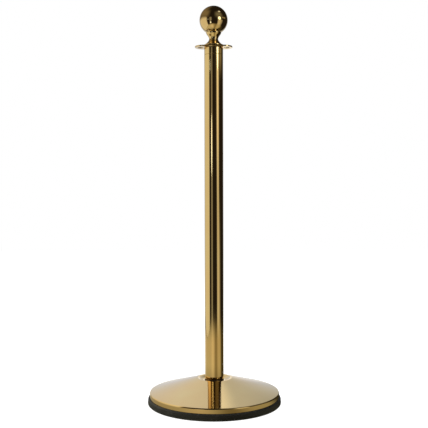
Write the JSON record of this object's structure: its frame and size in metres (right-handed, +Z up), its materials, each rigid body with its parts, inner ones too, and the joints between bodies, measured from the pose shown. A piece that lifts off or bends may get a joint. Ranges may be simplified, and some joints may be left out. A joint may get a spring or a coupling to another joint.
{
  "type": "rope barrier stanchion",
  "caption": "Polished brass rope barrier post with a ball finial, a plate with rope eyes, a hollow-cone dome base and a black rubber edge.",
  "frame": {"origin": "on the post's axis, at the floor under the rubber edge ring", "axes": "+Z up along the post, +X through the centres of both rope eyes at rest"},
  "size_m": [0.3588, 0.3588, 1.0675],
  "materials": {
    "polished_brass": "mirror polished and lacquered",
    "black_rubber": "matt moulded",
    "cast_iron": "rough cast, painted dark",
    "zinc_steel": "zinc plated",
    "nylon": "natural white, matt"
  },
  "bodies": {
    "base": {"post_tube": "polished_brass", "head_collar": "polished_brass", "slip_washer_lower": "nylon", "tie_rod": "zinc_steel", "foot_spigot": "zinc_steel", "foot_seal": "black_rubber", "base_cover": "polished_brass", "base_weight": "cast_iron", "base_plate": "zinc_steel", "plate_screw_1": "zinc_steel", "plate_screw_2": "zinc_steel", "plate_screw_3": "zinc_steel", "plate_screw_4": "zinc_steel", "tie_washer": "zinc_steel", "tie_spring_washer": "zinc_steel", "tie_nut": "zinc_steel", "edge_ring": "black_rubber"},
    "rope_plate": {"ring_plate": "polished_brass", "slip_washer_upper": "nylon"},
    "stud": {"finial_stud": "zinc_steel"},
    "finial": {"finial_neck": "polished_brass", "stud_lock_nut": "zinc_steel", "ball_boss": "zinc_steel", "finial_ball": "polished_brass"}
  },
  "joints": [
    {"name": "plate_swivel", "type": "hinge", "parent": "base", "child": "rope_plate", "pos_m": [0, 0, 0.9579], "axis": [0, 0, 1], "continuous": true},
    {"name": "finial_lift", "type": "slide", "parent": "base", "child": "stud", "axis": [0, 0, 1], "range_m": [0, 0.0225]},
    {"name": "finial_turn", "type": "hinge", "parent": "stud", "child": "finial", "pos_m": [0, 0, 0.961], "axis": [0, 0, 1], "range_deg": [0, 6480]}
  ],
  "couplings": [
    {"joint": "finial_lift", "follows": "finial_turn", "m_per_rad": 0.00019894}
  ]
}
